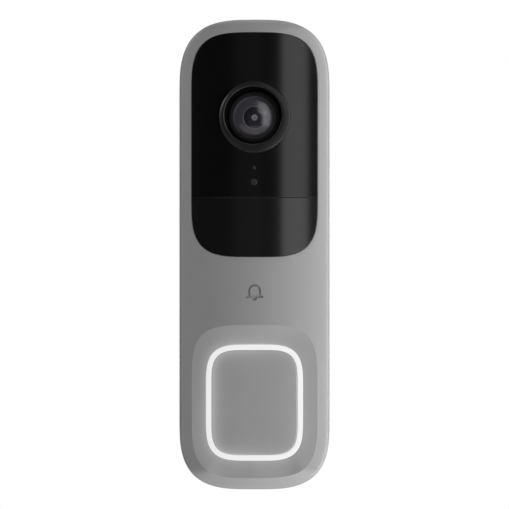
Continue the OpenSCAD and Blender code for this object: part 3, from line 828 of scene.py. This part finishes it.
def lens_surround():
    """Ring round the lens, sloping out to the window. Its opening sits up and to the left of the lens."""
    skin = Skin()
    back_d, flange_d, edge = 22.6, 23.6, 0.25

    def rim(x, z):
        return max(BEZEL_D - RIM_SLOPE, front_depth(x, z) - RIM_SUNK)

    def circle(r, share=0.0):
        return moved(circle_loop(r, LENS_Z, LENS_STEPS), OPENING_SHIFT, share)

    rings = [skin.ring(circle(r), d) for r, d in (
        (BEZEL_R + 1.3, back_d), (BEZEL_R + 1.3, flange_d), (BEZEL_R, flange_d), (BEZEL_R, below(rim, 0.15)),
        (BEZEL_R - 0.05, below(rim, 0.05)))]
    outer, inner = circle(BEZEL_R - 0.12), circle(OPENING_R + edge, 1)
    for t in (0, 0.15, 0.3, 0.45, 0.6, 0.75, 0.88, 1):
        rise = sin(pi / 2 * t)
        rings.append(skin.add([
            (ox + (ix - ox) * t, rim(ox, oz) + (BEZEL_D - rim(ox, oz)) * rise, oz + (iz - oz) * t)
            for (ox, oz), (ix, iz) in zip(outer, inner)]))
    rings += [skin.ring(circle(OPENING_R + edge * (1 - sin(a)), 1), BEZEL_D - edge * (1 - cos(a)))
              for a in quarter(4)[1:]]
    rings += [skin.ring(circle(r, 1), d) for r, d in (
        (OPENING_R, BEZEL_D - 0.4), (OPENING_R + 0.4, BEZEL_D - 0.5), (OPENING_R + 0.4, back_d))]
    skin.bridge_all(rings + [rings[0]])
    place(skin.make("lens_surround", bezel_plastic()), "lens_bezel", "bezel_black")


def lens_well():
    """Flocked funnel from the bezel's opening down to the lens."""
    skin = Skin()
    bore, back_d = 7.98, 22.8
    profile = ((OPENING_R + 0.3, back_d, 1), (OPENING_R + 0.3, BEZEL_D - 0.6, 1),
               (OPENING_R, BEZEL_D - 0.6, 1), (OPENING_R - 0.35, BEZEL_D - 1.8, 0.9),
               (bore, 25.2, 0), (bore, back_d, 0))
    rings = [skin.ring(moved(circle_loop(r, LENS_Z, LENS_STEPS), OPENING_SHIFT, share), d)
             for r, d, share in profile]
    skin.bridge_all(rings + [rings[0]])
    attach(skin.make("lens_well", flocking()), "housing")


def lens_clamp_ring():
    """Black ring that holds the front glass in its barrel."""
    d = BARREL_D
    profile = [(7.85, d - 0.1), (7.85, d + 0.5)]
    profile += [(7.65 + 0.2 * cos(a), d + 0.5 + 0.2 * sin(a)) for a in quarter(4)[1:]]
    profile += [(6.62, d + 0.7), (6.42, d + 0.6), (6.38, d + 0.3), (6.38, d), (6.6, d - 0.1)]
    place(turned("lens_clamp_ring", profile, LENS_Z, baffle_plastic()), "lens_retainer", "bezel_black")


def lens_dome():
    """The front glass: two spherical faces 0.4 mm apart."""
    edge_r, bulge, thick, steps = 6.55, 14.0, 0.4, 18
    apex = GLASS_APEX_D

    def side(r, lift):
        return r, apex - lift - bulge + sqrt(bulge ** 2 - r * r)

    front = [(0, apex)] + [side(edge_r * i / steps, 0.0) for i in range(1, steps + 1)]
    under = [side(edge_r * 0.97 * i / steps, thick) for i in range(steps, 0, -1)] + [(0, apex - thick)]
    place(turned("lens_dome", front + under, LENS_Z, lens_glass()), "lens_front_glass", "lens_coated_glass")


def lens_tube():
    """The barrel, whose rounded face shows through the glass."""
    face = moulded("lens_mount_face", (0.26, 0.245, 0.29), rough=0.42, grain=0.1, depth=0.001).material
    d, foot_d = BARREL_D, 16.6
    tube = [(7.8, 21.6), (7.8, d - 0.15), (7.65, d), (6.75, d), (6.68, 23.5), (6.6, 23.3)]
    tube += [(6.45 - 2.8 * i / 8, 23.32 + 0.62 * sin(pi / 2 * i / 8)) for i in range(9)]
    tube += [(3.6, 23.8), (3.4, 20.3), (3.0, 20.2), (3.0, foot_d), (6.0, foot_d), (6.0, 21.6)]
    place(turned("lens_tube", tube, LENS_Z, face), "lens_barrel", "frame_black")


def lens_rings():
    """The pale ring round the inner lens, and the iris in its middle."""
    pale = moulded("lens_ring_plastic", (0.80, 0.78, 0.82), rough=0.4, grain=0.1, depth=0.001).material
    band = [(3.56, 23.5), (3.56, 23.98), (3.51, 24.03), (3.39, 24.03), (3.34, 23.98), (3.34, 23.5)]
    iris = [(0.95, 23.9), (0.95, 24.08), (0.85, 24.13), (0.5, 24.13), (0.32, 24.05), (0.3, 23.9)]
    for name, profile in (("lens_front_ring", band), ("lens_iris", iris)):
        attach(turned(name, profile, LENS_Z, pale), "housing")


def inner_lens():
    """The lens behind the pale ring, seen dimly through the front glass."""
    edge_r, apex, back_d, steps = 3.26, 24.0, 20.5, 10
    profile = [(edge_r * i / steps, apex - 0.35 * (i / steps) ** 2) for i in range(steps + 1)]
    profile += [(edge_r, back_d), (0, back_d)]
    place(turned("inner_lens", profile, LENS_Z, inner_glass()), "lens_rear_glass", "lens_coated_glass")


def light_ring():
    """Milky band round the button; its flange sits behind the pad."""
    skin = Skin()
    back_d, shoulder_d = 20.6, 23.65

    def top(drop):
        return lambda x, z: pad_depth(x, z) + RING_PROUD - drop

    edge = [(0.0, 0.12), (0.05, 0.03), (0.14, 0)]
    profile = [(-1.6, back_d), (-1.6, 22.85), (0, 22.95), (0, shoulder_d)]
    profile += [(inset, top(drop)) for inset, drop in edge]
    profile += [(RING_T - inset, top(drop)) for inset, drop in reversed(edge)]
    profile += [(RING_T, shoulder_d), (0.5, shoulder_d), (0.5, back_d)]
    rings = [skin.ring(ring_loop(inset), depth) for inset, depth in profile]
    skin.bridge_all(rings + [rings[0]])
    place(skin.make("ring_diffuser", milky_diffuser()), "light_ring", "ring_diffuser")


def button_cap():
    """The call button: a nearly flat face, with the ring's light painted on it as glow."""
    skin = Skin()
    flange, back_d = 0.95, 22.6

    def loop(inset):
        return ring_loop(RING_T + CAP_GAP + inset)

    # paints the ring's light on the cap as glow, stronger towards its left side
    def paint_glow_on(ring, gap):
        for i in ring:
            x, _, z = skin.points[i]
            skin.painted_glow[i] = painted_glow_at(gap, x / RING_W, (z - BUTTON_Z) / RING_H, (0.13, -0.09), (0.02, 0, 0))

    rings = [skin.ring(loop(-flange), back_d), skin.ring(loop(-flange), 23.5), skin.ring(loop(0), 23.55)]
    flat = [(inset, 0) for inset in (0.4, 0.7, 1.0, 1.4, 1.9, 2.5, 3.2, 4.0, 5.0, 6.2)]
    for inset, drop in fillet(0.2, 3) + flat:
        rings.append(skin.ring(loop(inset), below(cap_depth, drop)))
        paint_glow_on(rings[-1], CAP_GAP + inset)
    skin.bridge_all(rings)
    first = len(skin.points)
    skin.fill(rings[-1], [], cap_depth, 1.0, 2.0)
    paint_glow_on(range(first, len(skin.points)), 8.0)
    skin.fill(rings[0], [], back_d, 3.0, 3.0)
    cap = skin.make("call_button", plastic_with_painted_glow("button_plastic", 0.008))
    place(cap, "button_cap", "button_grey", "button")


def refined(node, name, body, slot, material, edge):
    """A copy of a CAD node with its flat faces joined up and its edges broken, as moulded or machined."""
    mesh = frame["nodes"][node].data.copy()
    tidy = bmesh.new()
    tidy.from_mesh(mesh)
    bmesh.ops.remove_doubles(tidy, verts=tidy.verts, dist=0.002 * MM)
    bmesh.ops.dissolve_limit(tidy, angle_limit=radians(1), verts=tidy.verts, edges=tidy.edges)
    tidy.to_mesh(mesh)
    tidy.free()
    obj = bpy.data.objects.new(name, mesh)
    bpy.context.scene.collection.objects.link(obj)
    mesh.materials.clear()
    mesh.materials.append(material)
    bevel = obj.modifiers.new("bevel", "BEVEL")
    bevel.width = edge * MM
    bevel.segments = 2
    bevel.limit_method = "ANGLE"
    bevel.angle_limit = radians(32)
    solidly(obj)
    smooth(obj.data, radians(38))
    weigh = obj.modifiers.new("weigh", "WEIGHTED_NORMAL")
    weigh.keep_sharp = True
    weigh.weight = 100
    solidly(obj)
    return place(obj, node, slot, body)


def back_and_hardware():
    """The pieces seen from behind and below, as the CAD shapes them."""
    dark = moulded("back_plastic", (0.085, 0.085, 0.087), rough=0.5, grain=0.3, depth=0.015).material
    hook_plastic = moulded("bracket_plastic", (0.05, 0.05, 0.052), rough=0.55, grain=0.4, depth=0.02).material
    terminal = moulded("terminal_plastic", (0.02, 0.16, 0.09), rough=0.42, depth=0.006).material
    steel = metal("screw_steel", (0.58, 0.58, 0.6), 0.32)
    brass = metal("plated_brass", (0.72, 0.55, 0.25), 0.3)
    white = moulded("plunger_plastic", (0.62, 0.62, 0.6), rough=0.4).material
    refined("rear_housing", "rear_shell", "housing", "back_grey", dark, 0.2)
    refined("bracket", "wall_plate", "bracket", "bracket_grey", hook_plastic, 0.25)
    refined("terminal_block", "wire_terminals", "housing", "terminal_green", terminal, 0.12)
    refined("terminal_screws", "wire_screws", "housing", "screw_steel", steel, 0.1)
    refined("terminal_clamps", "wire_clamps", "housing", "brass_plated", brass, 0.1)
    refined("housing_screws", "shell_screws", "housing", "screw_steel", steel, 0.1)
    refined("security_screw", "lock_screw", "screw", "screw_steel", steel, 0.1)
    refined("tamper_plunger", "tamper_pin", "tamper", "plunger_white", white, 0.15)


def soft_pieces():
    """The button's silicone dome and the tamper's spring, copied from their CAD nodes with meshes of their
    own.
    fixed_end picks the end that stays: 0 is the front one and 1 the back one; it is not used."""
    silicone = rubber("dome_rubber", (0.55, 0.55, 0.52))
    wire = metal("spring_wire", (0.7, 0.7, 0.72), 0.2)
    for node, name, slot, material, joint, travel, fixed_end in (
            ("button_dome", "silicone_dome", "silicone_clear", silicone, "button_press", 0.5, 1),
            ("tamper_spring", "plunger_spring", "spring_steel", wire, "tamper_press", 1.2, 0)):
        obj = refined(node, name, "housing", slot, material, 0.04)
        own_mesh(obj)


def paint_hidden_nodes():
    """Materials of the CAD nodes that stay as they are."""
    board, black = circuit_board(), moulded("black_plastic", (0.012, 0.012, 0.013), rough=0.45).material
    steel = metal("stamped_steel", (0.62, 0.63, 0.64), 0.35)
    seal = rubber("seal_rubber", (0.012, 0.012, 0.012))
    finishes = {
        "board_green": board, "frame_black": black, "chip_black": black, "speaker_black": black,
        "shield_steel": steel, "screw_steel": steel, "seal_rubber": seal, "mesh_steel": woven_mesh(),
        "thermal_silicone": rubber("thermal_rubber", (0.3, 0.35, 0.42)),
        "heat_aluminium": metal("heat_aluminium", (0.75, 0.76, 0.78), 0.3, 0.9),
        "gold_contact": metal("gold_plate", (0.85, 0.65, 0.3), 0.25),
        "cone_grey": moulded("cone_film", (0.06, 0.06, 0.062), rough=0.5).material,
        "capacitor_sleeve": moulded("capacitor_sleeve", (0.01, 0.015, 0.08), rough=0.3).material,
        "ferrite": moulded("ferrite", (0.03, 0.03, 0.032), rough=0.6, grain=0.3, depth=0.02).material,
        "connector_tan": moulded("connector_plastic", (0.4, 0.33, 0.2), rough=0.5).material,
        "emitter_epoxy": moulded("emitter_epoxy", (0.02, 0.01, 0.02), rough=0.15, depth=0.001).material,
        "led_white": moulded("led_phosphor", (0.8, 0.78, 0.5), rough=0.3, depth=0.003).material,
        "flex_amber": moulded("flex_film", (0.5, 0.2, 0.02), rough=0.3, depth=0.003).material,
        "stem_red": moulded("stem_plastic", (0.4, 0.03, 0.02), rough=0.4).material,
        "sensor_silicon": moulded("sensor_silicon", (0.02, 0.03, 0.05), rough=0.15, depth=0.001).material,
        "filter_glass": moulded("filter_glass", (0.1, 0.4, 0.38), rough=0.08, depth=0.001).material,
    }
    slots = {part["node"]: part["material_slot"] for part in frame["record"]["subparts"]}
    for node, obj in frame["nodes"].items():
        if not obj.hide_render and slots[node] in finishes:
            obj.data.materials.clear()
            obj.data.materials.append(finishes[slots[node]])
            smooth(obj.data)


# ---- Camera, floor and light ----

def make_camera():
    data = bpy.data.cameras.new("camera")
    data.sensor_width = 36
    data.lens = data.sensor_width * CAMERA_FAR / FRAME_HEIGHT
    camera_object = bpy.data.objects.new("camera", data)
    bpy.context.scene.collection.objects.link(camera_object)
    camera_object.location = (0, -CAMERA_FAR - CROWN_D * MM, CAMERA_Z)
    camera_object.rotation_euler = (radians(90), 0, 0)
    bpy.context.scene.camera = camera_object


def area_light(name, azimuth, elevation, far, width, power, height):
    """Soft box aimed at the object."""
    data = bpy.data.lights.new(name, "AREA")
    data.shape = "RECTANGLE"
    data.size, data.size_y = width, height
    data.energy = power
    light = bpy.data.objects.new(name, data)
    bpy.context.scene.collection.objects.link(light)
    a, e = radians(azimuth), radians(elevation)
    back = Vector((sin(a) * cos(e), -cos(a) * cos(e), sin(e)))
    light.location = back * far
    light.rotation_euler = (-back).to_track_quat("-Z", "Y").to_euler()


def make_stage():
    """White surroundings for the eye, dim ones for reflections, a pale floor well below, and soft boxes."""
    scene = bpy.context.scene
    scene.view_settings.view_transform = "Standard"
    world = bpy.data.worlds.new("studio")
    scene.world = world
    world.use_nodes = True
    tree = world.node_tree
    seen = tree.nodes.new("ShaderNodeLightPath").outputs["Is Camera Ray"]
    dim = tree.nodes["Background"]
    dim.inputs["Color"].default_value = (1, 1, 1, 1)
    dim.inputs["Strength"].default_value = WORLD_LEVEL
    white = tree.nodes.new("ShaderNodeBackground")
    white.inputs["Color"].default_value = (1, 1, 1, 1)
    mix = tree.nodes.new("ShaderNodeMixShader")
    tree.links.new(seen, mix.inputs[0])
    tree.links.new(dim.outputs[0], mix.inputs[1])
    tree.links.new(white.outputs[0], mix.inputs[2])
    tree.links.new(mix.outputs[0], tree.nodes["World Output"].inputs["Surface"])

    bpy.ops.mesh.primitive_plane_add(size=FLOOR_SIZE, location=(0, 0, FLOOR_Z))
    floor = bpy.context.object
    floor.name = "floor"
    paint = moulded("floor_paint", (0.6, 0.6, 0.6), rough=0.8, grain=3, depth=0.02)
    paint.set(Emission_Color=(1, 1, 1, 1), Emission_Strength=FLOOR_LEVEL)
    floor.data.materials.append(paint.material)

    for name, light in LIGHTS.items():
        area_light(name, *light)


def main():
    make_camera()
    front_housing()
    camera_window()
    pir_lens()
    light_pipes()
    lens_surround()
    lens_well()
    lens_clamp_ring()
    lens_dome()
    lens_tube()
    lens_rings()
    inner_lens()
    light_ring()
    button_cap()
    back_and_hardware()
    soft_pieces()
    paint_hidden_nodes()
    make_stage()


main()
